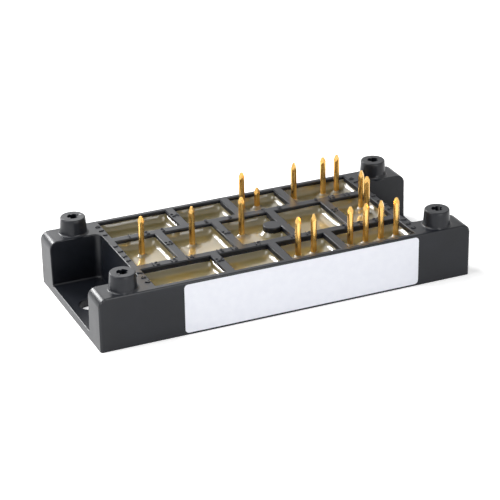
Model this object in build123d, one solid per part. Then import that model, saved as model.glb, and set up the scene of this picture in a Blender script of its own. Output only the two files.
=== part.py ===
"""Solder-pin power module: moulded frame, ceramic substrate, chips, gel and contact pins.

Millimetres, +Z up. The origin is the middle of the underside, X runs along the
length and the labelled long side faces -Y.
"""

import os

from build123d import *

# Moulded frame
LENGTH = 93.0
WIDTH = 40.4
BODY_HEIGHT = 13.0
END_ROUNDING = 2.0
SIDE_CHAMFER = 0.4
NOTCH_DEPTH = 12.0
NOTCH_WIDTH = 25.4
NOTCH_CORNER = 1.5
NOTCH_DRAFT = 1.5
FLANGE_THICKNESS = 2.0

# Screw holes in the two end flanges
HOLE_SPACING = 83.0
HOLE_DIAMETER = 5.5

# Corner posts that carry the circuit board
POST_SPACING_X = 78.8
POST_SPACING_Y = 33.0
POST_TOP = 17.0
POST_TOP_DIAMETER = 5.9
POST_BASE_DIAMETER = 6.5
SCREW_BORE = 2.7
SCREW_BORE_DEPTH = 7.0
CRUSH_RIBS = 3
CRUSH_RIB_WIDTH = 0.5
CRUSH_RIB_REACH = 0.35

# Pockets that core out the towers from below
CORE_WALL = 1.5
CORE_TOP = 8.2

# Cavity and the lattice of ribs across its top
SIDE_WALL = 1.5
END_WALL = 2.1
RIB_WIDTH = 2.2
RIB_DEPTH = 3.4
END_OPENING = 9.85
OUTER_ROW_DEPTH = 9.35
BOSS_DIAMETER = 4.5
BOSS_INSET = 1.65

# Substrate and its seat
CERAMIC_THICKNESS = 0.63
COPPER_THICKNESS = 0.3
SEAT_OVERLAP = 0.6
SEAT_CLEARANCE = 0.15
SEAL_THICKNESS = 0.12
BASE_COPPER_MARGIN = 1.2

# Copper islands on the ceramic
TRACK_MARGIN = 0.9
TRACK_GAP = 0.8
RAIL_WIDTH = 9.4
PHASES = 3
SIGNAL_DEPTH = 6.5
GATE_WIDTH = 6.0
SENSOR_WIDTH = 5.4
EMITTER_WIDTH = 5.0

# Chips and the temperature sensor
CHIP_THICKNESS = 0.3
DIODE_SIZE = 6.4
SWITCH_SIZE = 9.0
FREEWHEEL_SIZE = 5.0
CHIP_INSET = 1.5
CHIP_CLEARANCE = 0.3
LOWER_DIODE_Y = -4.2
SWITCH_Y = -2.9
SENSOR_LENGTH = 2.0
SENSOR_BREADTH = 1.2
SENSOR_HEIGHT = 0.8
SENSOR_INSET = 0.5

# Bond ribbons
BOND_THICKNESS = 0.25
BOND_WIDTH = 0.5
BOND_FOOT = 0.9
BOND_FLANK = 1.2
BOND_RISE = 1.7
BOND_PITCH = 1.6
FREEWHEEL_SKEW = 2.0

# Contact pins
PIN_DIAMETER = 1.4
PIN_TIP = 20.5
SHORT_PIN_TIP = 15.8
PIN_TIP_LENGTH = 0.8
PIN_TIP_DIAMETER = 0.7
PIN_FOOT = 2.4
PIN_FOOT_THICKNESS = 0.5
BACK_ROW_INSET = 3.1
FRONT_ROW_INSET = 4.8
MIDDLE_ROW_Y = 2.1

# Where the pins stand in their opening: distance from its left wall, or from its right wall
# where negative. The first three openings of the middle row hold one phase pin each
PHASE_PINS = (4.6, 5.15, 3.45)
THIRD_BACK_PINS = (2.3,)
LAST_BACK_PINS = (1.9, -7.2, -3.5)
SHORT_PIN = 6.3
THIRD_FRONT_PINS = (3.5, 7.5)
LAST_FRONT_PINS = (-14.4, -10.4, -6.4, -2.4)
EMITTER_PINS = (-2.5, -2.9)
EMITTER_PIN_Y = (4.1, 0.3)

# Clear gel
GEL_DROP = 2.1
MENISCUS_RISE = 0.9
WELL_SIDES = 8

# Label on the front long side
LABEL_LENGTH = 59.0
LABEL_THICKNESS = 0.1
LABEL_CORNER = 0.9
LABEL_X = 3.2
LABEL_MARGIN = 0.5

# Heights and half sizes that follow from the values above
CAVITY_LENGTH = LENGTH - 2 * (NOTCH_DEPTH + END_WALL)
CAVITY_WIDTH = WIDTH - 2 * SIDE_WALL
RIB_PITCH = (CAVITY_LENGTH - 2 * END_OPENING - RIB_WIDTH) / 3
CROSS_RIB_Y = (CAVITY_WIDTH - RIB_WIDTH) / 2 - OUTER_ROW_DEPTH
BRIDGE_RIGHT = RIB_PITCH - RIB_WIDTH / 2
BACK_ROW_Y = CAVITY_WIDTH / 2 - BACK_ROW_INSET
FRONT_ROW_Y = FRONT_ROW_INSET - CAVITY_WIDTH / 2
CERAMIC_LENGTH = CAVITY_LENGTH + 2 * SEAT_OVERLAP
CERAMIC_WIDTH = CAVITY_WIDTH + 2 * SEAT_OVERLAP
CERAMIC_BOTTOM = COPPER_THICKNESS
CERAMIC_TOP = CERAMIC_BOTTOM + CERAMIC_THICKNESS
SEAT_HEIGHT = CERAMIC_TOP + SEAL_THICKNESS
TRACK_TOP = CERAMIC_TOP + COPPER_THICKNESS
CHIP_TOP = TRACK_TOP + CHIP_THICKNESS
RIB_BOTTOM = BODY_HEIGHT - RIB_DEPTH
GEL_TOP = BODY_HEIGHT - GEL_DROP
MIN_UP = (Align.CENTER, Align.CENTER, Align.MIN)


def slab(length, width, bottom, top, x=0.0, y=0.0):
    """Block between two heights, given by its length and width."""
    return Pos(x, y, bottom) * extrude(Rectangle(length, width), top - bottom)


def span(x0, x1, y0, y1, bottom, top):
    """The same block, given by its four sides."""
    return slab(x1 - x0, y1 - y0, bottom, top, (x0 + x1) / 2, (y0 + y1) / 2)


def outer_ribs():
    """X of the ribs between the openings of the back row and of the front row."""
    return [k * RIB_PITCH for k in (-1, 0, 1)]


def middle_ribs():
    """X of the ribs in the middle row, half a pitch off the others."""
    return [k * RIB_PITCH for k in (-1.5, -0.5, 0.5, 1.5)]


def openings(ribs):
    """Left and right wall of each opening in a row."""
    left = [-CAVITY_LENGTH / 2] + [x + RIB_WIDTH / 2 for x in ribs]
    right = [x - RIB_WIDTH / 2 for x in ribs] + [CAVITY_LENGTH / 2]
    return list(zip(left, right))


def cells():
    """The thirteen openings of the lattice, as (x0, x1, y0, y1), in three staggered rows."""
    rib = RIB_WIDTH / 2
    side = CAVITY_WIDTH / 2
    found = [(x0, x1, CROSS_RIB_Y + rib, side) for x0, x1 in openings(outer_ribs())]
    found += [(x0, x1, rib - CROSS_RIB_Y, CROSS_RIB_Y - rib) for x0, x1 in openings(middle_ribs())]
    found += [(x0, x1, -side, -CROSS_RIB_Y - rib) for x0, x1 in openings(outer_ribs())]
    return found


def boss_x():
    """Middle of the boss, which grows out of a rib of the middle row."""
    return RIB_PITCH / 2 - RIB_WIDTH / 2 - BOSS_INSET


def stand_in(opening, insets):
    """X of each pin in an opening, from its distance to the left or the right wall."""
    left, right = opening
    return [left + inset if inset > 0 else right + inset for inset in insets]


def posts():
    """The four corner post positions."""
    return [(x, y) for x in (-POST_SPACING_X / 2, POST_SPACING_X / 2)
            for y in (-POST_SPACING_Y / 2, POST_SPACING_Y / 2)]


def frame_block():
    """Outer block: its ends are rounded over the top, its long sides chamfered all round."""
    profile = Plane.XZ * Pos(0, BODY_HEIGHT / 2) * Rectangle(LENGTH, BODY_HEIGHT)
    block = extrude(profile, WIDTH / 2, both=True)
    ends = block.edges().filter_by(Axis.Y).group_by(Axis.Z)[-1]
    block = fillet(ends, END_ROUNDING)
    sides = block.faces().filter_by(Axis.Y).edges()
    return chamfer([edge for edge in sides if edge.center().Z > BODY_HEIGHT / 4], SIDE_CHAMFER)


def notch(side):
    """Space between two towers, above the flange, a little wider at its top."""
    height = BODY_HEIGHT - FLANGE_THICKNESS
    floor = RectangleRounded(2 * NOTCH_DEPTH, NOTCH_WIDTH, NOTCH_CORNER)
    return Pos(side * LENGTH / 2, 0, FLANGE_THICKNESS) * extrude(floor, height, taper=-NOTCH_DRAFT)


def tower_core(x, y):
    """Pocket under a tower, as deep as the post's bore lets it be."""
    tower_width = (WIDTH - NOTCH_WIDTH) / 2
    length = NOTCH_DEPTH - 2 * CORE_WALL
    width = tower_width - 2 * CORE_WALL
    cx = LENGTH / 2 - NOTCH_DEPTH / 2
    cy = WIDTH / 2 - tower_width / 2
    cx = cx if x > 0 else -cx
    cy = cy if y > 0 else -cy
    return slab(length, width, 0, CORE_TOP, cx, cy)


def post(x, y):
    """Slightly tapered post on top of a tower."""
    height = POST_TOP - BODY_HEIGHT
    return Pos(x, y, BODY_HEIGHT) * Cone(POST_BASE_DIAMETER / 2, POST_TOP_DIAMETER / 2, height, align=MIN_UP)


def screw_bore(x, y):
    """Blind bore with crush ribs, which a thread-forming screw cuts into."""
    bottom = POST_TOP - SCREW_BORE_DEPTH
    bore = Pos(x, y, bottom) * Cylinder(SCREW_BORE / 2, SCREW_BORE_DEPTH, align=MIN_UP)
    ribs = []
    reach = SCREW_BORE / 2
    for k in range(CRUSH_RIBS):
        turn = 90 + 360 * k / CRUSH_RIBS
        rib = slab(2 * CRUSH_RIB_REACH, CRUSH_RIB_WIDTH, bottom, POST_TOP, reach)
        ribs.append(Pos(x, y) * Rot(0, 0, turn) * rib)
    return bore - ribs


def housing():
    """The one-piece moulded frame."""
    body = frame_block()
    body -= [notch(-1), notch(1)]
    body += [post(x, y) for x, y in posts()]
    body -= [screw_bore(x, y) for x, y in posts()]
    body -= [tower_core(x, y) for x, y in posts()]
    for x in (-HOLE_SPACING / 2, HOLE_SPACING / 2):
        body -= Pos(x, 0) * Cylinder(HOLE_DIAMETER / 2, FLANGE_THICKNESS, align=MIN_UP)
    seat = SEAT_CLEARANCE * 2
    body -= slab(CERAMIC_LENGTH + seat, CERAMIC_WIDTH + seat, 0, SEAT_HEIGHT)
    body -= slab(CAVITY_LENGTH, CAVITY_WIDTH, SEAT_HEIGHT, RIB_BOTTOM)
    body -= [span(*cell, RIB_BOTTOM, BODY_HEIGHT) for cell in cells()]
    body += Pos(boss_x(), 0, RIB_BOTTOM) * Cylinder(BOSS_DIAMETER / 2, RIB_DEPTH, align=MIN_UP)
    return body


def track_outline():
    """Half length and half width of the area that the copper islands cover."""
    return CAVITY_LENGTH / 2 - TRACK_MARGIN, CAVITY_WIDTH / 2 - TRACK_MARGIN


def phase_middle(k):
    """X of a phase's input pin, with its two diodes in front of it and behind it."""
    return stand_in(openings(middle_ribs())[k], PHASE_PINS)[k]


def phase_bounds(k):
    """Left and right side of the k-th phase island, which carries one input pin."""
    end = track_outline()[0]
    half_gap = TRACK_GAP / 2
    left = -end if k == 0 else (phase_middle(k - 1) + phase_middle(k)) / 2 + half_gap
    right = BRIDGE_RIGHT if k == PHASES - 1 else (phase_middle(k) + phase_middle(k + 1)) / 2 - half_gap
    return left, right


def island(x0, x1, y0, y1):
    """One rectangle of copper on the ceramic."""
    return span(x0, x1, y0, y1, CERAMIC_TOP, TRACK_TOP)


def copper_islands():
    """Bridge rails and phases on the left, brake chopper and signals on the right."""
    end, side = track_outline()
    rail = side - RAIL_WIDTH
    parts = [
        island(-end, BRIDGE_RIGHT, rail, side),
        island(-end, BRIDGE_RIGHT, -side, -rail),
    ]
    for k in range(PHASES):
        x0, x1 = phase_bounds(k)
        parts.append(island(x0, x1, -rail + TRACK_GAP, rail - TRACK_GAP))
    left = BRIDGE_RIGHT + TRACK_GAP
    signal = side - SIGNAL_DEPTH
    emitter = end - EMITTER_WIDTH
    front = SWITCH_Y - SWITCH_SIZE / 2
    collector = island(left, end, -side, front - TRACK_GAP)
    collector += island(left, emitter - TRACK_GAP, -side, signal - TRACK_GAP)
    parts.append(collector)
    parts.append(island(emitter, end, front, signal - TRACK_GAP))
    parts.append(island(left, left + GATE_WIDTH, signal, side))
    parts.append(island(sensor_gap() - TRACK_GAP / 2 - SENSOR_WIDTH, sensor_gap() - TRACK_GAP / 2, signal, side))
    parts.append(island(sensor_gap() + TRACK_GAP / 2, end, signal, side))
    return parts


def sensor_gap():
    """Middle of the gap between the last two back-row pins, which the sensor bridges."""
    return sum(stand_in(openings(outer_ribs())[-1], LAST_BACK_PINS)[-2:]) / 2


def sensor():
    """Chip thermistor across the gap between the last two back-row pins."""
    front = track_outline()[1] - SIGNAL_DEPTH + SENSOR_INSET
    top = TRACK_TOP + SENSOR_HEIGHT
    return slab(SENSOR_LENGTH, SENSOR_BREADTH, TRACK_TOP, top, sensor_gap(), front + SENSOR_BREADTH / 2)


def chip(x, y, size):
    """One bare chip on the copper."""
    return slab(size, size, TRACK_TOP, CHIP_TOP, x, y)


def upper_diode_y():
    """Middle of the back rail."""
    return track_outline()[1] - RAIL_WIDTH / 2


def switch_x():
    """X of the brake switch, next to the bridge's right side."""
    return BRIDGE_RIGHT + TRACK_GAP + CHIP_INSET + SWITCH_SIZE / 2


def freewheel_place():
    """Middle of the freewheeling diode, in the back rail's right end and clear of the pins' feet."""
    back = BACK_ROW_Y - PIN_FOOT / 2 - CHIP_CLEARANCE
    return BRIDGE_RIGHT - CHIP_INSET - FREEWHEEL_SIZE / 2, back - FREEWHEEL_SIZE / 2


def bond(x0, y0, z0, x1, y1, z1):
    """Aluminium ribbon from one flat foot to the other, over a raised crown."""
    run = ((x1 - x0) ** 2 + (y1 - y0) ** 2) ** 0.5
    half = BOND_THICKNESS / 2
    crown = max(z0, z1) + BOND_RISE
    near = BOND_FOOT
    far = run - BOND_FOOT
    path = Polyline(
        (0, 0, z0 + half), (near, 0, z0 + half), (near + BOND_FLANK, 0, crown + half),
        (far - BOND_FLANK, 0, crown + half), (far, 0, z1 + half), (run, 0, z1 + half))
    section = Plane.YZ * Pos(0, z0 + half) * Rectangle(BOND_WIDTH, BOND_THICKNESS)
    ribbon = sweep(section, path, transition=Transition.RIGHT)
    turn = Vector(1, 0, 0).get_signed_angle(Vector(x1 - x0, y1 - y0, 0), Vector(0, 0, 1))
    return Pos(x0, y0) * Rot(0, 0, turn) * ribbon


def bridge_bonds():
    """Three ribbons from each diode to the island next to it."""
    rail = track_outline()[1] - RAIL_WIDTH
    landing = TRACK_GAP + BOND_FOOT
    ribbons = []
    for k in range(PHASES):
        for step in (-BOND_PITCH, 0, BOND_PITCH):
            x = phase_middle(k) + step
            ribbons.append(bond(x, LOWER_DIODE_Y, CHIP_TOP, x, -rail - landing, TRACK_TOP))
            ribbons.append(bond(x, upper_diode_y(), CHIP_TOP, x, rail - landing - BOND_FOOT, TRACK_TOP))
    return ribbons


def chopper_bonds():
    """Ribbons of the brake switch, its gate and the freewheeling diode."""
    end, side = track_outline()
    signal = side - SIGNAL_DEPTH
    emitter_x = end - EMITTER_WIDTH + 2 * BOND_FOOT
    ribbons = []
    for step in (-1, 0, 1):
        y = SWITCH_Y - BOND_PITCH + step * BOND_PITCH
        ribbons.append(bond(switch_x(), y, CHIP_TOP, emitter_x, y, TRACK_TOP))
    gate_x = switch_x() - SWITCH_SIZE / 2 + BOND_FOOT
    gate_y = SWITCH_Y + SWITCH_SIZE / 2 - BOND_FOOT
    ribbons.append(bond(gate_x, gate_y, CHIP_TOP, gate_x, signal + BOND_FOOT, TRACK_TOP))
    freewheel_x, freewheel_y = freewheel_place()
    collector_x = BRIDGE_RIGHT + TRACK_GAP + 2 * BOND_FOOT
    for step in (-BOND_PITCH / 2, BOND_PITCH / 2):
        y = freewheel_y - FREEWHEEL_SIZE / 4 + step
        ribbons.append(bond(freewheel_x, y, CHIP_TOP, collector_x, y - FREEWHEEL_SKEW, TRACK_TOP))
    return ribbons


def pin_places():
    """Every contact pin as (x, y, height of its tip)."""
    outer = openings(outer_ribs())
    middle = openings(middle_ribs())
    back = stand_in(outer[2], THIRD_BACK_PINS) + stand_in(outer[3], LAST_BACK_PINS)
    front = stand_in(outer[2], THIRD_FRONT_PINS) + stand_in(outer[3], LAST_FRONT_PINS)
    places = [(phase_middle(k), MIDDLE_ROW_Y, PIN_TIP) for k in range(PHASES)]
    places += [(x, BACK_ROW_Y, PIN_TIP) for x in back]
    places += [(x, y, PIN_TIP) for x, y in zip(stand_in(middle[4], EMITTER_PINS), EMITTER_PIN_Y)]
    places += [(x, FRONT_ROW_Y, PIN_TIP) for x in front]
    places += [(outer[2][0] + SHORT_PIN, BACK_ROW_Y, SHORT_PIN_TIP)]
    return places


def pin_foot():
    """Square solder foot of a contact pin."""
    return slab(PIN_FOOT, PIN_FOOT, TRACK_TOP, TRACK_TOP + PIN_FOOT_THICKNESS)


def contact_pin(x, y, tip):
    """Round pin with a coned tip, standing on its solder foot."""
    shoulder = tip - PIN_TIP_LENGTH
    shank = Pos(0, 0, TRACK_TOP) * Cylinder(PIN_DIAMETER / 2, shoulder - TRACK_TOP, align=MIN_UP)
    point = Pos(0, 0, shoulder) * Cone(PIN_DIAMETER / 2, PIN_TIP_DIAMETER / 2, PIN_TIP_LENGTH, align=MIN_UP)
    return Pos(x, y) * (pin_foot() + shank + point)


def pin_well(x, y):
    """Space that a pin takes up in the gel, its round shank as a prism that just holds it."""
    prism = RegularPolygon(PIN_DIAMETER / 2, WELL_SIDES, major_radius=False)
    return Pos(x, y) * (pin_foot() + Pos(0, 0, TRACK_TOP) * extrude(prism, BODY_HEIGHT - TRACK_TOP))


def meniscus_fill(x0, x1, y0, y1):
    """Gel in one opening of the lattice, drawn up a little along its four walls."""
    rim = GEL_TOP + MENISCUS_RISE
    dish = span(x0, x1, y0, y1, GEL_TOP, BODY_HEIGHT)
    dish = chamfer(dish.faces().sort_by(Axis.Z)[0].edges(), MENISCUS_RISE)
    return span(x0, x1, y0, y1, RIB_BOTTOM, rim) - dish


def gel(solids):
    """Clear gel over the substrate, up to a meniscus in every opening of the lattice."""
    body = slab(CAVITY_LENGTH, CAVITY_WIDTH, CERAMIC_TOP, RIB_BOTTOM)
    body += [meniscus_fill(*cell) for cell in cells()]
    body -= Pos(boss_x(), 0, RIB_BOTTOM) * Cylinder(BOSS_DIAMETER / 2, RIB_DEPTH, align=MIN_UP)
    body -= [pin_well(x, y) for x, y, tip in pin_places()]
    return body - solids


def label():
    """Thin label on the long side that faces -Y, its text left off."""
    outline = RectangleRounded(LABEL_LENGTH, BODY_HEIGHT - 2 * LABEL_MARGIN, LABEL_CORNER)
    sheet = extrude(Plane.XZ * Pos(LABEL_X, BODY_HEIGHT / 2) * outline, LABEL_THICKNESS)
    return Pos(0, -WIDTH / 2, 0) * sheet


def seal():
    """Adhesive bead between the ceramic and the frame's seat."""
    ring = slab(CERAMIC_LENGTH, CERAMIC_WIDTH, CERAMIC_TOP, SEAT_HEIGHT)
    return ring - slab(CAVITY_LENGTH, CAVITY_WIDTH, CERAMIC_TOP, SEAT_HEIGHT)


def build():
    """Every node of the module, by name."""
    nodes = {}
    nodes["housing"] = housing()
    margin = 2 * BASE_COPPER_MARGIN
    nodes["base_copper"] = slab(CERAMIC_LENGTH - margin, CERAMIC_WIDTH - margin, 0, COPPER_THICKNESS)
    nodes["ceramic_tile"] = slab(CERAMIC_LENGTH, CERAMIC_WIDTH, CERAMIC_BOTTOM, CERAMIC_TOP)
    nodes["seal_bead"] = seal()
    nodes["copper_tracks"] = copper_islands()
    for k in range(PHASES):
        nodes[f"lower_diode_{k + 1}"] = chip(phase_middle(k), LOWER_DIODE_Y, DIODE_SIZE)
        nodes[f"upper_diode_{k + 1}"] = chip(phase_middle(k), upper_diode_y(), DIODE_SIZE)
    nodes["brake_switch_chip"] = chip(switch_x(), SWITCH_Y, SWITCH_SIZE)
    nodes["freewheel_diode"] = chip(*freewheel_place(), FREEWHEEL_SIZE)
    nodes["temperature_sensor"] = sensor()
    nodes["bridge_bonds"] = bridge_bonds()
    nodes["chopper_bonds"] = chopper_bonds()
    embedded = []
    for name, shape in nodes.items():
        if name not in ("housing", "base_copper", "ceramic_tile", "seal_bead"):
            embedded += shape if isinstance(shape, list) else [shape]
    nodes["gel_fill"] = gel(embedded)
    for k, place in enumerate(pin_places()):
        nodes[f"contact_pin_{k + 1:02d}"] = contact_pin(*place)
    nodes["label"] = label()
    return nodes


os.makedirs("parts", exist_ok=True)
for node, shape in build().items():
    solid = Compound(children=shape) if isinstance(shape, list) else shape
    export_step(solid, f"parts/{node}.step")
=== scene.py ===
# %% [markdown]
# This lesson dresses a flat power module: a dark moulded frame with a lattice of openings, clear
# gel in the openings, gold-coloured pins that stand up out of it and a white label on the long
# side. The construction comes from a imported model, which is loaded first and never moved. What
# the lesson adds are the surfaces: softened edges, a wet gel surface, pins with pressed tips,
# small raised numbers and the materials. Blender works in metres, and MM turns a size in
# millimetres into metres.

# %% Load the frame
import math

import bmesh
import bpy
from mathutils import Matrix, Vector, noise


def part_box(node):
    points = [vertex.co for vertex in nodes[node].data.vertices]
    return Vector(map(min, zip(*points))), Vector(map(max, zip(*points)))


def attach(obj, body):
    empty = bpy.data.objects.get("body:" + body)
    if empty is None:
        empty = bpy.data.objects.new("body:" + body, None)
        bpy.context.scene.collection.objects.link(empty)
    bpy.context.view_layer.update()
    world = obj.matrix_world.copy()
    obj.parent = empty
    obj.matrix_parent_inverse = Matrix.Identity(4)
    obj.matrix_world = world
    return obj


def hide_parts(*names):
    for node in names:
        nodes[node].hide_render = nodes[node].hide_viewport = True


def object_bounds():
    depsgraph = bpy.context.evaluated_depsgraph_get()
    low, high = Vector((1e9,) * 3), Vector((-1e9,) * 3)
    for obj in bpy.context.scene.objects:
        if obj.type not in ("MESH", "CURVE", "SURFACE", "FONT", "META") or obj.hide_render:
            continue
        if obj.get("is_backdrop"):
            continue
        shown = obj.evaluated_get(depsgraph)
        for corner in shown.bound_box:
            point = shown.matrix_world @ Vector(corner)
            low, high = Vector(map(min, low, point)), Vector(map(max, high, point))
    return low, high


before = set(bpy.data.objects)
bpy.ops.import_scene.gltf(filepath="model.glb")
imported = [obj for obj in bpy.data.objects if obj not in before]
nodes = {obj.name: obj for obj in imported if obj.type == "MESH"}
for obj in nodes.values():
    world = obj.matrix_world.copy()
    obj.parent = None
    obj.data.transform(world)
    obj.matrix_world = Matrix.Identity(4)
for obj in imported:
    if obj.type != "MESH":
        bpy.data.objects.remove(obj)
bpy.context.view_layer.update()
MM = 0.001

# %% [markdown]
# An edit-mode operator acts on everything that is selected, so each step starts from an empty
# selection. Faces and edges could be found by their numbers, but those change with every edit, so
# they are picked by where they are. One more helper names a finished piece, gives it its material
# and ties it to the module's one body.


# %% Selection helpers
def deselect_all():
    """Leaves edit mode and clears the selection."""
    if bpy.context.mode != "OBJECT":
        bpy.ops.object.mode_set(mode="OBJECT")
    bpy.ops.object.select_all(action="DESELECT")


def make_active(piece):
    """Selects one piece alone and makes it the active one."""
    deselect_all()
    piece.select_set(True)
    bpy.context.view_layer.objects.active = piece


def everything(item, middle):
    """Test for pick that takes every face or edge."""
    return True


def pick(piece, kind, wanted):
    """Opens edit mode with only those faces or edges selected whose middle passes the test."""
    make_active(piece)
    bpy.ops.object.mode_set(mode="EDIT")
    bpy.ops.mesh.select_mode(type=kind)
    bpy.ops.mesh.select_all(action="DESELECT")
    mesh = bmesh.from_edit_mesh(piece.data)
    items = mesh.faces if kind == "FACE" else mesh.edges
    count = 0
    for item in items:
        middle = sum((v.co for v in item.verts), Vector()) / len(item.verts)
        if wanted(item, middle):
            item.select_set(True)
            count += 1
    mesh.select_flush_mode()
    bmesh.update_edit_mesh(piece.data)
    return count


def finish_piece(piece, name, material):
    """Names a piece, gives it its material and ties it to the module's one body."""
    deselect_all()
    piece.name = name
    piece.data.name = name
    piece.data.materials.clear()
    piece.data.materials.append(material)
    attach(piece, "root")
    print(name, len(piece.data.polygons), "faces")
    return piece


print("selection helpers ready")

# %% [markdown]
# Colours are written as they look on a screen, in hex, and one function turns them into the
# linear values that a shader needs. Another adds a node with its settings and links, so that a
# material reads as a list of what feeds what. Patterns are noises on Object coordinates, which
# need no unwrapping and stay on a piece wherever it goes. A noise lies mostly between 0.3 and
# 0.7, so colours are spread between those values.

# %% Colour and node helpers
NOISE_ENDS = (0.3, 0.7)


def linear(colour):
    """Linear RGBA of an sRGB hex colour such as 2B2C2E."""
    channels = [int(colour[k:k + 2], 16) / 255 for k in (0, 2, 4)]
    bent = [c / 12.92 if c <= 0.04045 else ((c + 0.055) / 1.055) ** 2.4 for c in channels]
    return (*bent, 1.0)


def per_metre(size):
    """Scale of a pattern whose features are this many millimetres wide."""
    return 1 / (size * MM)


def add(tree, kind, links=None, stops=None, **settings):
    """Adds a node; links give each input a value or an output, stops are (place, hex colour)."""
    node = tree.nodes.new(kind)
    for name, value in settings.items():
        setattr(node, name, value)
    if stops:
        for element, (place, colour) in zip(node.color_ramp.elements, stops):
            element.position = place
            element.color = linear(colour)
    for name, value in (links or {}).items():
        socket = node.inputs[name]
        if isinstance(value, bpy.types.NodeSocket):
            tree.links.new(value, socket)
        else:
            socket.default_value = value
    return node


def fresh_tree(holder):
    """Empty node tree of a material or a world."""
    holder.use_nodes = True
    holder.node_tree.nodes.clear()
    return holder.node_tree


def start_material(name):
    """New material, with its node tree and its Object coordinates."""
    material = bpy.data.materials.new(name)
    tree = fresh_tree(material)
    place = add(tree, "ShaderNodeTexCoord").outputs["Object"]
    return material, tree, place


print("material helpers ready")

# %% [markdown]
# The frame is black nylon, filled with chopped glass and moulded in a spark-eroded tool. Such a
# moulding is never quite black or quite even: the glass greys it, the melt leaves faint cloudy
# flow, and the tool gives it a fine grain. One plain dark colour would look like a hole in the
# picture, so three noises break it up: clouds for the colour, a finer one for the gloss and
# grain for the relief.

# %% Glass-filled nylon
FLOW_CLOUDS = 9.0
GLOSS_PATCHES = 2.2
# The grain of the real tool is finer, and is drawn this coarse so that it shows.
MOULD_GRAIN = 0.35
GRAIN_DEPTH = 0.012


def glass_filled_nylon():
    """Moulded black nylon: matt, slightly clouded, with a fine sparked grain."""
    material, tree, place = start_material("glass_filled_nylon")
    flow = add(tree, "ShaderNodeTexNoise",
               {"Vector": place, "Scale": per_metre(FLOW_CLOUDS), "Detail": 5.0})
    colour = add(tree, "ShaderNodeValToRGB", {"Fac": flow.outputs["Fac"]},
                 stops=zip(NOISE_ENDS, ("0F1116", "15181F")))
    patches = add(tree, "ShaderNodeTexNoise",
                  {"Vector": place, "Scale": per_metre(GLOSS_PATCHES), "Detail": 6.0})
    rough = add(tree, "ShaderNodeMapRange",
                {"Value": patches.outputs["Fac"], "To Min": 0.28, "To Max": 0.38})
    grain = add(tree, "ShaderNodeTexNoise",
                {"Vector": place, "Scale": per_metre(MOULD_GRAIN), "Detail": 3.0})
    relief = add(tree, "ShaderNodeBump",
                 {"Height": grain.outputs["Fac"], "Strength": 0.6, "Distance": GRAIN_DEPTH * MM})
    shader = add(tree, "ShaderNodeBsdfPrincipled", {
        "Base Color": colour.outputs["Color"], "Roughness": rough.outputs["Result"],
        "Normal": relief.outputs["Normal"], "IOR": 1.53, "Specular IOR Level": 0.3})
    add(tree, "ShaderNodeOutputMaterial", {"Surface": shader.outputs["BSDF"]})
    return material


nylon = glass_filled_nylon()
print(nylon.name)

# %% [markdown]
# The pins are copper wire, drawn through a die and plated a gold colour. Drawing leaves very fine
# lines along the wire, which stretch its reflections lengthwise. They could be a relief, but
# lines this fine would only sparkle, so they vary the colour and the gloss instead: a noise
# squeezed along Z.

# %% Gold-coloured plating
# Lines from a real die are finer, and are drawn this wide so that they show.
DRAWN_LINE = 0.12
DRAWN_STRETCH = 0.04


def gold_plating():
    """Plated drawn wire: warm, bright, with faint lines along its length."""
    material, tree, place = start_material("gold_plating")
    squeezed = add(tree, "ShaderNodeMapping", {"Vector": place, "Scale": (1, 1, DRAWN_STRETCH)})
    lines = add(tree, "ShaderNodeTexNoise", {
        "Vector": squeezed.outputs["Vector"], "Scale": per_metre(DRAWN_LINE), "Detail": 2.0})
    colour = add(tree, "ShaderNodeValToRGB", {"Fac": lines.outputs["Fac"]},
                 stops=zip(NOISE_ENDS, ("EBAE55", "FFDA8C")))
    rough = add(tree, "ShaderNodeMapRange",
                {"Value": lines.outputs["Fac"], "To Min": 0.22, "To Max": 0.3})
    shader = add(tree, "ShaderNodeBsdfPrincipled", {
        "Base Color": colour.outputs["Color"], "Roughness": rough.outputs["Result"],
        "Metallic": 1.0})
    add(tree, "ShaderNodeOutputMaterial", {"Surface": shader.outputs["BSDF"]})
    return material


gold = gold_plating()
print(gold.name)

# %% [markdown]
# The gel is a soft clear silicone, poured in and cured. Its surface is as glossy as water, while
# its body is slightly amber and milky, so that the copper below shows as warm, blurred shapes. A
# volume could give that haze, but it is slow and noisy to render. Here the shader transmits
# through a rough surface, which blurs what lies below, and a coat on top of it keeps the wet
# gloss. The small part that doesn't transmit gives the gel its milkiness.

# %% Clear silicone gel
GEL_CLOUDS = 6.0
CLOUD_ENDS = (0.35, 0.7)


def silicone_gel():
    """Cured silicone gel: clear, amber, wet on top."""
    material, tree, place = start_material("silicone_gel")
    clouds = add(tree, "ShaderNodeTexNoise",
                 {"Vector": place, "Scale": per_metre(GEL_CLOUDS), "Detail": 3.0})
    colour = add(tree, "ShaderNodeValToRGB", {"Fac": clouds.outputs["Fac"]},
                 stops=zip(CLOUD_ENDS, ("D8C070", "E2CD87")))
    shader = add(tree, "ShaderNodeBsdfPrincipled", {
        "Base Color": colour.outputs["Color"], "Roughness": 0.38, "IOR": 1.41,
        "Transmission Weight": 0.84, "Coat Weight": 1.0, "Coat Roughness": 0.11,
        "Coat IOR": 1.45})
    add(tree, "ShaderNodeOutputMaterial", {"Surface": shader.outputs["BSDF"]})
    return material


gel = silicone_gel()
print(gel.name)

# %% [markdown]
# The label is coated paper: bright, faintly blue, with the weak mottling of its fibres. Its
# recipe is a plain one, in which colour, gloss and relief all follow one fine grain. The pieces
# under the gel use it too, with other values, so it is a function.


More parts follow.
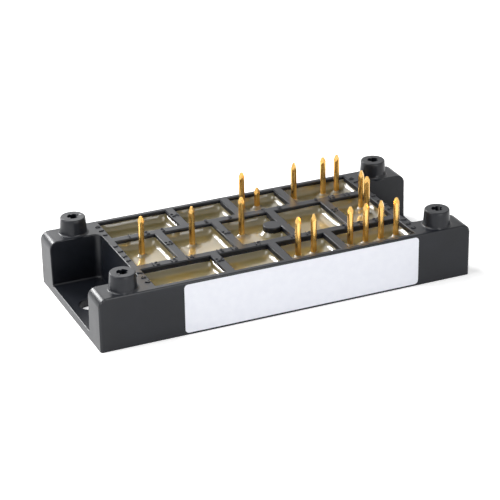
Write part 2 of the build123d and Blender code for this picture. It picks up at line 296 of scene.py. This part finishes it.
# %% Coated label paper
def grained_surface(name, colours, grain, gloss, detail, relief, strength, **shader_values):
    """Material whose colour, gloss and relief all follow one grain, sized in millimetres."""
    material, tree, place = start_material(name)
    pattern = add(tree, "ShaderNodeTexNoise",
                  {"Vector": place, "Scale": per_metre(grain), "Detail": detail}).outputs["Fac"]
    colour = add(tree, "ShaderNodeValToRGB", {"Fac": pattern},
                 stops=zip(NOISE_ENDS, colours))
    rough = add(tree, "ShaderNodeMapRange",
                {"Value": pattern, "To Min": gloss[0], "To Max": gloss[1]})
    bump = add(tree, "ShaderNodeBump",
               {"Height": pattern, "Strength": strength, "Distance": relief * MM})
    shader = add(tree, "ShaderNodeBsdfPrincipled", {
        "Base Color": colour.outputs["Color"], "Roughness": rough.outputs["Result"],
        "Normal": bump.outputs["Normal"], **shader_values})
    add(tree, "ShaderNodeOutputMaterial", {"Surface": shader.outputs["BSDF"]})
    return material


paper = grained_surface("coated_label_paper", ("F0F2FA", "F4F6FD"), grain=1.6, gloss=(0.4, 0.55),
                        detail=4.0, relief=0.01, strength=0.3, IOR=1.48)
print(paper.name)

# %% [markdown]
# Under the gel lies the substrate. Its underside is rolled copper, its tracks are etched copper,
# its chips are silicon with a metal coat, and ribbons of aluminium bond them. They are all
# metals whose surface varies in fine specks, and differ in colour, speck size and gloss.

# %% Metals under the gel
METAL = {"detail": 6.0, "relief": 0.006, "strength": 0.4, "Metallic": 1.0}
copper = grained_surface(
    "rolled_copper", ("B87650", "D39A70"), grain=1.2, gloss=(0.34, 0.5), **METAL)
etched_copper = grained_surface(
    "etched_copper_tracks", ("E0CDA4", "EEDFBE"), grain=0.8, gloss=(0.4, 0.55), **METAL)
ribbon = grained_surface(
    "bond_aluminium_ribbon", ("C9CBD0", "E6E7EA"), grain=0.4, gloss=(0.25, 0.4), **METAL)
chip_metal = grained_surface(
    "metallised_silicon", ("8B8D95", "A9ABB2"), grain=0.5, gloss=(0.3, 0.42), **METAL)
print("metals:", copper.name, etched_copper.name, ribbon.name, chip_metal.name)

# %% [markdown]
# The tile is white fired alumina, the bead that seals it is cured adhesive, and the temperature
# sensor is a dark sintered oxide. They are matt, and their grain is a little deeper than that
# of the metals.

# %% Ceramic, adhesive and sensor
MATT_BODY = {"detail": 5.0, "relief": 0.01, "strength": 0.4, "IOR": 1.5}
alumina = grained_surface(
    "fired_alumina", ("E6E3DA", "F2F0EA"), grain=0.3, gloss=(0.55, 0.7), **MATT_BODY)
adhesive = grained_surface(
    "cured_adhesive", ("3A3A3C", "4B4B4E"), grain=0.8, gloss=(0.4, 0.55), **MATT_BODY)
oxide = grained_surface(
    "sintered_oxide", ("211E1C", "35302C"), grain=0.2, gloss=(0.5, 0.65), **MATT_BODY)
print("matt bodies:", alumina.name, adhesive.name, oxide.name)

# %% [markdown]
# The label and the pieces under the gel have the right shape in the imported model. They could be
# modelled again, but the label is a plain sheet and the gel blurs the rest, so they keep their
# meshes and only get their materials.

# %% Dress the pieces that stay
DRESS = {
    "base_copper": copper,
    "ceramic_tile": alumina,
    "seal_bead": adhesive,
    "copper_tracks": etched_copper,
    "brake_switch_chip": chip_metal,
    "freewheel_diode": chip_metal,
    "temperature_sensor": oxide,
    "bridge_bonds": ribbon,
    "chopper_bonds": ribbon,
    "label": paper,
}
DRESS.update({f"{row}_diode_{k}": chip_metal for row in ("lower", "upper") for k in (1, 2, 3)})
for name, material in DRESS.items():
    for holder in nodes[name].material_slots:
        holder.material = material
print("dressed", len(DRESS), "nodes")

# %% [markdown]
# The moulded frame has the right shape already, but every edge of it is dead sharp, and no
# moulding comes out of its mould like that. A Bevel modifier could round all edges at once, but
# then it would round the narrow bores too. So the edges are picked by two tests. One finds the
# hollow edges at the foot of the notch walls, and the other finds the square outer edges of
# ribs, posts and ends.

# %% Which edges of the frame are softened
BODY_TOP = 13.0
FLANGE_TOP = 2.0
NOTCH_INNER = 33.0
POST_X = 39.4
POST_Y = 16.5
POSTS = [(x, y) for x in (-POST_X, POST_X) for y in (-POST_Y, POST_Y)]
BORE_CLEARANCE = 1.8
SQUARE_FROM = math.radians(60)
SQUARE_UP_TO = math.radians(120)
JUST_BELOW = 0.1
LEVEL_WITHIN = 0.01


def notch_foot(edge, middle):
    """Hollow edges where the walls of a notch stand on its flange."""
    level = all(abs(v.co.z / MM - FLANGE_TOP) < LEVEL_WITHIN for v in edge.verts)
    return level and not edge.is_convex and abs(middle.x / MM) > NOTCH_INNER


def square_edge(edge, middle):
    """Outer edges of about 90 degrees that show, away from the bores."""
    if len(edge.link_faces) != 2 or not SQUARE_FROM < edge.calc_face_angle_signed() < SQUARE_UP_TO:
        return False
    in_bore = any((middle.xy / MM - Vector(post)).length < BORE_CLEARANCE for post in POSTS)
    on_top = all(v.co.z / MM > BODY_TOP - JUST_BELOW for v in edge.verts)
    at_end = abs(middle.x / MM) > NOTCH_INNER and middle.z / MM > FLANGE_TOP - JUST_BELOW
    return not in_bore and (on_top or at_end)


print(len(POSTS), "posts with bores that stay sharp")

# %% [markdown]
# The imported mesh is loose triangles, so a copy of it is merged first and its flat areas are
# cleaned up. Subdividing it would soften the whole frame, while a bevel in edit mode changes
# only the picked edges. The first bevel hollows the foot of the notch walls. The second rounds
# the square edges by a fraction of a millimetre, which catches the light along ribs and posts.
# Weighted normals keep the flats flat.

# %% Moulded frame with softened edges
MERGE_WITHIN = 0.002
FLAT_WITHIN = math.radians(0.5)
SHARP_FROM = math.radians(35)
FILLET_RADIUS = 0.45
FILLET_SEGMENTS = 4
EDGE_SOFTNESS = 0.25
EDGE_SEGMENTS = 3


def moulded_frame():
    """Copy of the frame, merged, cleaned and with softened edges."""
    source = nodes["housing"]
    piece = source.copy()
    piece.data = source.data.copy()
    bpy.context.collection.objects.link(piece)
    piece.parent = None
    piece.matrix_world = Matrix.Identity(4)
    pick(piece, "FACE", everything)
    bpy.ops.mesh.remove_doubles(threshold=MERGE_WITHIN * MM)
    bpy.ops.mesh.dissolve_limited(angle_limit=FLAT_WITHIN)
    print("edges at the foot of the notches:", pick(piece, "EDGE", notch_foot))
    bpy.ops.mesh.bevel(offset=FILLET_RADIUS * MM, segments=FILLET_SEGMENTS)
    bpy.ops.object.mode_set(mode="OBJECT")
    print("square outer edges:", pick(piece, "EDGE", square_edge))
    bpy.ops.mesh.bevel(offset=EDGE_SOFTNESS * MM, segments=EDGE_SEGMENTS, clamp_overlap=False)
    bpy.ops.object.mode_set(mode="OBJECT")
    bpy.ops.object.shade_smooth_by_angle(angle=SHARP_FROM)
    even = piece.modifiers.new("even", "WEIGHTED_NORMAL")
    even.keep_sharp = True
    bpy.ops.object.modifier_apply(modifier=even.name)
    return piece


housing = finish_piece(moulded_frame(), "moulded_frame", nylon)

# %% [markdown]
# Each post meets the top of its tower in a small hollow fillet. A bevel of that round edge would
# run over the tower's side, which is close to the post. So the fillet is a ring of its own: the
# corners of a circle are laid on the fillet's profile, and a Screw modifier turns it round the
# post. Where the ring passes the tower's side, it is pressed back to it. Then the four rings are
# joined to the frame.

# %% Fillets at the feet of the posts
POST_FOOT_RADIUS = 3.25
LAND_EDGE = 19.75
FILLET_SUNK = 0.3
FILLET_STEPS = 48


def fillet_profile():
    """Outline of the fillet as (reach, height): its hollow arc, closed inside post and tower."""
    middle = POST_FOOT_RADIUS + FILLET_RADIUS
    sunk = POST_FOOT_RADIUS - FILLET_SUNK
    profile = [(sunk, BODY_TOP + FILLET_RADIUS)]
    for k in range(FILLET_SEGMENTS + 1):
        turn = math.radians(180 + 90 * k / FILLET_SEGMENTS)
        profile.append((middle + FILLET_RADIUS * math.cos(turn),
                        BODY_TOP + FILLET_RADIUS * (1 + math.sin(turn))))
    return profile + [(middle, BODY_TOP - FILLET_SUNK), (sunk, BODY_TOP - FILLET_SUNK)]


def post_fillet(x, y):
    """Hollow fillet round the foot of one post, cut short where the tower's side is close."""
    profile = fillet_profile()
    bpy.ops.mesh.primitive_circle_add(vertices=len(profile))
    ring = bpy.context.object
    for corner, (reach, height) in zip(ring.data.vertices, profile):
        corner.co = (reach * MM, 0, height * MM)
    turned = ring.modifiers.new("turned", "SCREW")
    turned.steps = turned.render_steps = FILLET_STEPS
    turned.use_merge_vertices = True
    turned.merge_threshold = MERGE_WITHIN * MM
    bpy.ops.object.modifier_apply(modifier=turned.name)
    for corner in ring.data.vertices:
        corner.co += Vector((x, y, 0)) * MM
        if abs(corner.co.y) > LAND_EDGE * MM:
            corner.co.y = math.copysign(LAND_EDGE * MM, corner.co.y)
            corner.co.z = min(corner.co.z, BODY_TOP * MM)
    pick(ring, "FACE", everything)
    bpy.ops.mesh.normals_make_consistent(inside=False)
    bpy.ops.object.mode_set(mode="OBJECT")
    bpy.ops.object.shade_smooth_by_angle(angle=SHARP_FROM)
    return ring


fillets = [post_fillet(x, y) for x, y in POSTS]
make_active(housing)
for ring in fillets:
    ring.data.materials.append(nylon)
    ring.select_set(True)
bpy.ops.object.join()
print(housing.name, len(housing.data.polygons), "faces with its fillets")
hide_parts("housing")

# %% [markdown]
# The lattice's openings are where the gel shows. Their walls could be read back from the frame's
# mesh, but they follow from its size and a few values, so they are worked out: the ribs of the
# two outer rows stand between those of the inner row.

# %% Where the openings and ribs are
SIDE_WALL = 1.5
END_WALL = 14.1
RIB = 2.2
END_OPENING = 9.85
OUTER_ROW_DEPTH = 9.35
INNER_RIBS = 4
PIN_COUNT = 16
frame_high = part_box("housing")[1]
HALF_LENGTH = frame_high.x / MM - END_WALL
HALF_WIDTH = frame_high.y / MM - SIDE_WALL
RIB_PITCH = (2 * HALF_LENGTH - 2 * END_OPENING - RIB) / (INNER_RIBS - 1)
CROSS_RIB_Y = HALF_WIDTH - OUTER_ROW_DEPTH - RIB / 2


def row_cells(rib_places, y0, y1):
    """Openings of one row between its ribs, as (x0, x1, y0, y1)."""
    left = [-HALF_LENGTH] + [x + RIB / 2 for x in rib_places]
    right = [x - RIB / 2 for x in rib_places] + [HALF_LENGTH]
    return [(x0, x1, y0, y1) for x0, x1 in zip(left, right)]


outer = [k * RIB_PITCH for k in (-1, 0, 1)]
inner = [k * RIB_PITCH for k in (-1.5, -0.5, 0.5, 1.5)]
cells = row_cells(outer, CROSS_RIB_Y + RIB / 2, HALF_WIDTH)
cells += row_cells(inner, RIB / 2 - CROSS_RIB_Y, CROSS_RIB_Y - RIB / 2)
cells += row_cells(outer, -HALF_WIDTH, -CROSS_RIB_Y - RIB / 2)
pin_boxes = {k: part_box(f"contact_pin_{k:02d}") for k in range(1, PIN_COUNT + 1)}
pin_places = {k: ((low + high) / 2 / MM).xy for k, (low, high) in pin_boxes.items()}
print(len(cells), "openings,", len(pin_places), "pins")

# %% [markdown]
# The gel wets every wall, every pin and the round boss on one rib, so its surface climbs to them
# in a meniscus. It could be drawn as a quarter circle, but a liquid's surface falls off
# exponentially with its distance from the wall, which a short formula gives. A slow noise makes
# the level a little uneven. Under the ribs the gel keeps rising, so that its surface stays steep
# right up to each wall.

# %% Level of the gel
GEL_LEVEL = 10.45
GEL_UNEVEN = 0.12
GEL_UNEVEN_SIZE = 7.0
WALL_RISE = 1.25
WALL_REACH = 0.72
TUCK_RISE = 0.45
PIN_RADIUS = 0.7
PIN_RISE = 0.7
PIN_REACH = 0.4
BOSS_RADIUS = 2.25
BOSS_FROM_RIB = 1.65
BOSS_PLACE = Vector((RIB_PITCH / 2 - RIB / 2 - BOSS_FROM_RIB, 0))


def climb(gap, reach):
    """Share of its full height that a meniscus has at this distance from what it climbs."""
    return math.exp(-max(0.0, gap) / reach)


def gel_height(x, y):
    """Level of the gel at a point, in millimetres."""
    level = GEL_LEVEL + GEL_UNEVEN * noise.noise(Vector((x, y, 0)) / GEL_UNEVEN_SIZE)
    point = Vector((x, y))
    for x0, x1, y0, y1 in cells:
        if x0 <= x <= x1 and y0 <= y <= y1:
            gaps = (x - x0, x1 - x, y - y0, y1 - y)
            level += WALL_RISE * min(1.0, sum(climb(gap, WALL_REACH) for gap in gaps))
            for place in pin_places.values():
                level += PIN_RISE * climb((point - place).length - PIN_RADIUS, PIN_REACH)
            level += WALL_RISE * climb((point - BOSS_PLACE).length - BOSS_RADIUS, WALL_REACH)
            return min(level, GEL_LEVEL + WALL_RISE)
    return level + WALL_RISE + TUCK_RISE


print("gel at a wall:", round(gel_height(RIB_PITCH / 2, HALF_WIDTH), 2), "mm")

# %% [markdown]
# The gel could be a subdivided block shaped by hand, but a meniscus is less than a millimetre
# wide and follows every wall. So its surface is a grid over the whole cavity. A line of the grid
# lies on every wall and on both sides of every pin, and the lines are closer together there,
# where the surface bends most. The outermost lines are tucked into the walls.

# %% Lines of the gel's grid
GEL_STEP = 0.25
GEL_TUCK = 0.25
TO_MICRON = 3


def grid_lines(half, marks):
    """Places of the grid's lines from -half to half: one on each mark, and closer near marks."""
    stops = sorted({round(mark, TO_MICRON) for mark in [-half, *marks, half]})
    lines = [-half]
    for low, high in zip(stops, stops[1:]):
        steps = max(1, round((high - low) / GEL_STEP))
        for k in range(1, steps + 1):
            even = k / steps
            crowded = (1 - math.cos(math.pi * even)) / 2
            lines.append(low + (high - low) * (even + crowded) / 2)
    return lines


rims = [place + side * PIN_RADIUS * Vector((1, 1))
        for place in pin_places.values() for side in (-1, 1)]
x_marks = [x for cell in cells for x in cell[:2]] + [rim.x for rim in rims]
y_marks = [y for cell in cells for y in cell[2:]] + [rim.y for rim in rims]
across = grid_lines(HALF_LENGTH + GEL_TUCK, x_marks)
along = grid_lines(HALF_WIDTH + GEL_TUCK, y_marks)
print("gel grid:", len(across), "by", len(along), "lines")

# %% [markdown]
# The grid primitive is evenly spaced, so each of its corners is moved to its two lines and put
# on the gel's level there. A thin sheet would do for a look from above, but light has to enter
# and leave a closed body. So the sheet is extruded down to the ceramic, flattened and closed.

# %% Gel body
GEL_FLOOR = 1.0
SEEK_BELOW = 0.5
GEL_SHARP_FROM = math.radians(75)


def gel_sheet():
    """Grid over the cavity with each corner on the gel's level."""
    columns, rows = len(across) - 1, len(along) - 1
    bpy.ops.mesh.primitive_grid_add(x_subdivisions=columns, y_subdivisions=rows, size=2)
    piece = bpy.context.active_object
    for vertex in piece.data.vertices:
        x = across[round((vertex.co.x + 1) / 2 * columns)]
        y = along[round((vertex.co.y + 1) / 2 * rows)]
        vertex.co = Vector((x, y, gel_height(x, y))) * MM
    return piece


def at_bottom(edge, middle):
    """Open edges at the bottom of the gel."""
    return edge.is_boundary and middle.z < (GEL_FLOOR + SEEK_BELOW) * MM


def gel_body():
    """Closed body of gel: the sheet, extruded down to the ceramic."""
    deselect_all()
    piece = gel_sheet()
    pick(piece, "FACE", everything)
    bpy.ops.mesh.extrude_region_move(TRANSFORM_OT_translate={"value": (0, 0, -GEL_LEVEL * MM)})
    bpy.ops.transform.resize(value=(1, 1, 0), center_override=(0, 0, GEL_FLOOR * MM))
    bpy.ops.mesh.delete(type="ONLY_FACE")
    pick(piece, "EDGE", at_bottom)
    bpy.ops.mesh.edge_face_add()
    bpy.ops.mesh.select_all(action="SELECT")
    bpy.ops.mesh.delete_loose()
    bpy.ops.mesh.select_all(action="SELECT")
    bpy.ops.mesh.normals_make_consistent(inside=False)
    bpy.ops.object.mode_set(mode="OBJECT")
    bpy.ops.object.shade_smooth_by_angle(angle=GEL_SHARP_FROM)
    return piece


gel_piece = finish_piece(gel_body(), "gel_body", gel)
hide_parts("gel_fill")

# %% [markdown]
# A pin is a length of round wire on a small square foot that is soldered to the copper. Its tip
# is pressed to a point with four flats, so that it finds its hole in the circuit board. A small
# pyramid on the wire's end would leave ledges beside it. So the wire and a slim pyramid over its
# whole length are intersected by a Boolean: low down the wire is the narrower one and stays
# round, and at the tip the pyramid's sides cut the flats.

# %% Wire with a four-sided tip
PIN_SIDES = 32
PIN_BOTTOM = pin_boxes[1][0].z / MM
TIP_LENGTH = 1.6
TIP_END = 0.22
SPARE = 1
TIP_SHARP_FROM = math.radians(14)


def wire(height):
    """Wire at the middle of the frame, with its pointed tip at this height."""
    deselect_all()
    tall = height - PIN_BOTTOM + SPARE
    slope = (PIN_RADIUS - TIP_END) / TIP_LENGTH
    bpy.ops.mesh.primitive_cone_add(
        vertices=4, radius1=math.sqrt(2) * (TIP_END + slope * tall) * MM,
        radius2=math.sqrt(2) * TIP_END * MM, depth=tall * MM,
        location=(0, 0, (PIN_BOTTOM - SPARE + tall / 2) * MM))
    pyramid = bpy.context.active_object
    bpy.ops.mesh.primitive_cylinder_add(
        vertices=PIN_SIDES, radius=PIN_RADIUS * MM, depth=tall * MM,
        location=(0, 0, (PIN_BOTTOM + tall / 2) * MM))
    piece = bpy.context.active_object
    pressed = piece.modifiers.new("pressed", "BOOLEAN")
    pressed.operation = "INTERSECT"
    pressed.solver = "EXACT"
    pressed.object = pyramid
    bpy.ops.object.modifier_apply(modifier=pressed.name)
    bpy.data.objects.remove(pyramid)
    bpy.ops.object.transform_apply(location=True, rotation=True, scale=True)
    bpy.ops.object.shade_smooth_by_angle(angle=TIP_SHARP_FROM)
    return piece


wire_models = {}
for low, high in pin_boxes.values():
    height = round(high.z / MM, TO_MICRON)
    if height not in wire_models:
        wire_models[height] = wire(height)
print("wires of these heights:", sorted(wire_models), "mm")

# %% [markdown]
# The foot is a small square of copper that gives the wire its hold in the solder. A sharp cube
# would nearly do under the gel, but a stamped piece has soft edges, and a small bevel lets them
# catch a little light.

# %% Square foot
FOOT_SIZE = 2.4
FOOT_THICKNESS = 0.5
FOOT_SOFTNESS = 0.12
FOOT_SEGMENTS = 2


def square_foot():
    """Solder foot at the middle of the frame."""
    bpy.ops.mesh.primitive_cube_add(
        size=FOOT_SIZE * MM, location=(0, 0, (PIN_BOTTOM + FOOT_THICKNESS / 2) * MM))
    foot = bpy.context.active_object
    foot.scale.z = FOOT_THICKNESS / FOOT_SIZE
    bpy.ops.object.transform_apply(location=True, rotation=True, scale=True)
    pick(foot, "EDGE", everything)
    bpy.ops.mesh.bevel(offset=FOOT_SOFTNESS * MM, segments=FOOT_SEGMENTS)
    bpy.ops.object.mode_set(mode="OBJECT")
    return foot


foot_model = square_foot()
print("foot", len(foot_model.data.polygons), "faces")

# %% [markdown]
# Each pin is a copy of the foot and of the wire of its height. Copies that share one mesh would
# be lighter, but every pin has to be a piece of its own. Round wire lies in its tool at any
# angle, so each copy is turned a little differently, and its flats catch the light in their own
# way. The feet stay square to the tracks.

# %% Sixteen pins
TURN_STEP = 17
TURN_RANGE = 50


def copy_at(piece, x, y, turn=0.0):
    """Copy of a piece with its own mesh, turned and shifted in its mesh."""
    deselect_all()
    copied = piece.copy()
    copied.data = piece.data.copy()
    bpy.context.collection.objects.link(copied)
    copied.location = (x * MM, y * MM, 0)
    copied.rotation_euler.z = turn
    copied.select_set(True)
    bpy.context.view_layer.objects.active = copied
    bpy.ops.object.transform_apply(location=True, rotation=True, scale=True)
    return copied


for number, (low, high) in pin_boxes.items():
    turn = math.radians(number * TURN_STEP % TURN_RANGE - TURN_RANGE / 2)
    foot = copy_at(foot_model, *pin_places[number])
    pin = copy_at(wire_models[round(high.z / MM, TO_MICRON)], *pin_places[number], turn)
    foot.select_set(True)
    bpy.ops.object.join()
    finish_piece(pin, f"pin_{number:02d}", gold)
    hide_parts(f"contact_pin_{number:02d}")
for model in (foot_model, *wire_models.values()):
    bpy.data.objects.remove(model)

# %% [markdown]
# Small raised numbers stand on the ribs beside the pins and on both ends of the frame, as a
# moulder puts them there for whoever fits the circuit board. A texture could draw them, but they
# are raised far enough for the light to catch their edges. So each is a text object, given a
# thickness and turned into a mesh, and all are joined. A text's mesh isn't closed along its
# edges, so its doubled corners are merged.

# %% Raised numbers on the frame
NUMBER_SIZE = 2.1
NUMBER_RAISED = 0.22
END_NUMBER_SIZE = 1.8
END_NUMBER_X = 33.42
NUMBER_PLACES = [(x, side * CROSS_RIB_Y) for side in (1, -1)
                 for x in (-28.5, -24, -20, -12.5, -9, -3, 6, 10, 20, 24, 28)]
NUMBER_PLACES += [(inner[0], 0.8), (outer[0], 15), (outer[0], -12.5), (inner[1], 0.5), (inner[3], 1)]
END_NUMBER_PLACES = [(side * END_NUMBER_X, y) for side in (-1, 1)
                     for y in (16.5, 14, 11.5, 4.5, 1.5, -1.5, -4, -11, -13.5, -16)]


def raised_number(text, x, y, size=NUMBER_SIZE, turn=0.0):
    """One thin raised number, lying on top of the frame."""
    deselect_all()
    bpy.ops.object.text_add(location=(x * MM, y * MM, BODY_TOP * MM), rotation=(0, 0, turn))
    piece = bpy.context.active_object
    piece.data.body = text
    piece.data.size = size * MM
    piece.data.align_x = "CENTER"
    piece.data.align_y = "CENTER"
    piece.data.extrude = NUMBER_RAISED * MM
    bpy.ops.object.convert(target="MESH")
    bpy.ops.object.transform_apply(location=True, rotation=True, scale=True)
    return bpy.context.active_object


numbers = [raised_number(str(k + 1), x, y) for k, (x, y) in enumerate(NUMBER_PLACES)]
numbers += [raised_number(str(k % 10), x, y, END_NUMBER_SIZE, -math.pi / 2)
            for k, (x, y) in enumerate(END_NUMBER_PLACES)]
make_active(numbers[0])
for piece in numbers:
    piece.select_set(True)
bpy.ops.object.join()
pick(numbers[0], "FACE", everything)
bpy.ops.mesh.remove_doubles(threshold=MERGE_WITHIN * MM)
bpy.ops.mesh.normals_make_consistent(inside=False)
bpy.ops.object.mode_set(mode="OBJECT")
finish_piece(numbers[0], "raised_numbers", nylon)

# %% [markdown]
# The module lies on a plain white sheet in white surroundings. Stronger lamps would make the
# sheet white, but they would bleach the module too. So the floor shines with some white of its
# own, which only the camera and reflections see, and the module's shadow still falls on it. A
# diffuse shader takes that shadow, and a mix adds the shine.

# %% White floor
FLOOR_SIZE = 6.0
FLOOR_DROP = 0.05
FLOOR_LIFT = 0.55


def white_floor():
    """Diffuse white sheet with some white of its own for the camera and for reflections."""
    material = bpy.data.materials.new("white_floor")
    tree = fresh_tree(material)
    path = add(tree, "ShaderNodeLightPath").outputs
    shown = add(tree, "ShaderNodeMath",
                {0: path["Is Camera Ray"], 1: path["Is Glossy Ray"]}, operation="MAXIMUM")
    matt = add(tree, "ShaderNodeBsdfDiffuse", {"Color": linear("F4F4F4")})
    own = add(tree, "ShaderNodeEmission", {"Color": linear("FFFFFF"), "Strength": FLOOR_LIFT})
    lifted = add(tree, "ShaderNodeAddShader", {0: matt.outputs[0], 1: own.outputs[0]})
    seen = add(tree, "ShaderNodeMixShader",
               {0: shown.outputs[0], 1: matt.outputs[0], 2: lifted.outputs[0]})
    add(tree, "ShaderNodeOutputMaterial", {"Surface": seen.outputs[0]})
    return material


deselect_all()
bpy.ops.mesh.primitive_plane_add(size=FLOOR_SIZE, location=(0, 0, -FLOOR_DROP * MM))
floor = bpy.context.active_object
floor.name = "floor"
floor.data.materials.append(white_floor())
floor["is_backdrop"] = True
print("floor", FLOOR_SIZE, "m wide")

# %% [markdown]
# The surroundings are the world's background. It is white where it is seen, which is straight
# from the camera, in gloss and through the gel. As a light it is dim, so that the lamps below
# shape the module. One strength for all would be either a grey background or flat light.

# %% White surroundings
AMBIENT = 0.1


def white_surroundings():
    """World that is white where it is seen and dim as a light."""
    world = bpy.data.worlds.new("studio")
    tree = fresh_tree(world)
    path = add(tree, "ShaderNodeLightPath").outputs
    mirrored = add(tree, "ShaderNodeMath",
                   {0: path["Is Camera Ray"], 1: path["Is Glossy Ray"]}, operation="MAXIMUM")
    seen = add(tree, "ShaderNodeMath",
               {0: mirrored.outputs[0], 1: path["Is Transmission Ray"]}, operation="MAXIMUM")
    level = add(tree, "ShaderNodeMapRange",
                {"Value": seen.outputs[0], "To Min": AMBIENT, "To Max": 1.0})
    sky = add(tree, "ShaderNodeBackground",
              {"Color": linear("FFFFFF"), "Strength": level.outputs["Result"]})
    add(tree, "ShaderNodeOutputWorld", {"Surface": sky.outputs[0]})
    return world


bpy.context.scene.world = white_surroundings()
print("world", bpy.context.scene.world.name)

# %% [markdown]
# Five soft boxes light the module. A small bright one at the back left draws the bright edges
# where the gel climbs the walls, and a weak one at the back brightens the tops. One at the left
# lights the left ends, and one above them shows in the gel's surface. The long front side is
# turned away from all of these and stays dark, so a wide box at the front fills it and lights
# the label. One large lamp would give the same brightness, but no edges in the gel.


# %% Lamps
def soft_box(name, place, size, power):
    """Square area lamp that faces the module."""
    light = bpy.data.lights.new(name, "AREA")
    light.shape = "SQUARE"
    light.size = size
    light.energy = power
    lamp = bpy.data.objects.new(name, light)
    lamp.location = place
    lamp.rotation_euler = (-Vector(place)).to_track_quat("-Z", "Y").to_euler()
    bpy.context.collection.objects.link(lamp)
    print(name, size, "m wide,", power, "W")


soft_box("back_left_box", (-0.2, 0.4, 0.26), 0.16, 2.4)
soft_box("back_box", (0.05, 0.45, 0.26), 0.26, 0.32)
soft_box("left_box", (-0.5, 0.02, 0.35), 0.3, 1.6)
soft_box("top_box", (-0.3, 0.08, 0.5), 0.36, 1.5)
soft_box("front_fill_box", (0.1, -0.85, 0.17), 0.5, 4.2)

# %% [markdown]
# The camera stands where the photograph was taken from. It could be placed by eye, but every pin
# and post is compared with the photograph. So its direction, distance, focal length and a slight
# roll were found from the module's corners, its posts and its long edges.

# %% Camera
AZIMUTH = math.radians(-23.513)
ELEVATION = math.radians(25.239)
ROLL = math.radians(-0.899)
FOCAL_PIXELS = 1971.08
IMAGE_SIZE = 500
SENSOR = 36.0
OFFSET_RIGHT = 1.415
OFFSET_UP = -6.538
DISTANCE = 469.324

back = Vector((math.sin(AZIMUTH) * math.cos(ELEVATION), -math.cos(AZIMUTH) * math.cos(ELEVATION),
               math.sin(ELEVATION)))
level_right = Vector((math.cos(AZIMUTH), math.sin(AZIMUTH), 0))
level_up = back.cross(level_right)
right = math.cos(ROLL) * level_right + math.sin(ROLL) * level_up
up = math.cos(ROLL) * level_up - math.sin(ROLL) * level_right
stand = DISTANCE * back - OFFSET_RIGHT * right - OFFSET_UP * up
lens = bpy.data.cameras.new("camera")
lens.sensor_fit = "HORIZONTAL"
lens.sensor_width = SENSOR
lens.lens = FOCAL_PIXELS * SENSOR / IMAGE_SIZE
camera = bpy.data.objects.new("camera", lens)
camera_turn = Matrix((right, up, back)).transposed().to_4x4()
camera.matrix_world = Matrix.Translation(stand * MM) @ camera_turn
bpy.context.collection.objects.link(camera)
bpy.context.scene.camera = camera
bpy.context.scene.view_settings.view_transform = "Standard"
print("camera at", [round(v, 3) for v in camera.location], "lens", round(lens.lens, 2))

# %% [markdown]
# Last, the size of the dressed module is printed.

# %% Size of the dressed module
low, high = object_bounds()
print("dressed:", [round(v / MM, 2) for v in high - low], "mm")
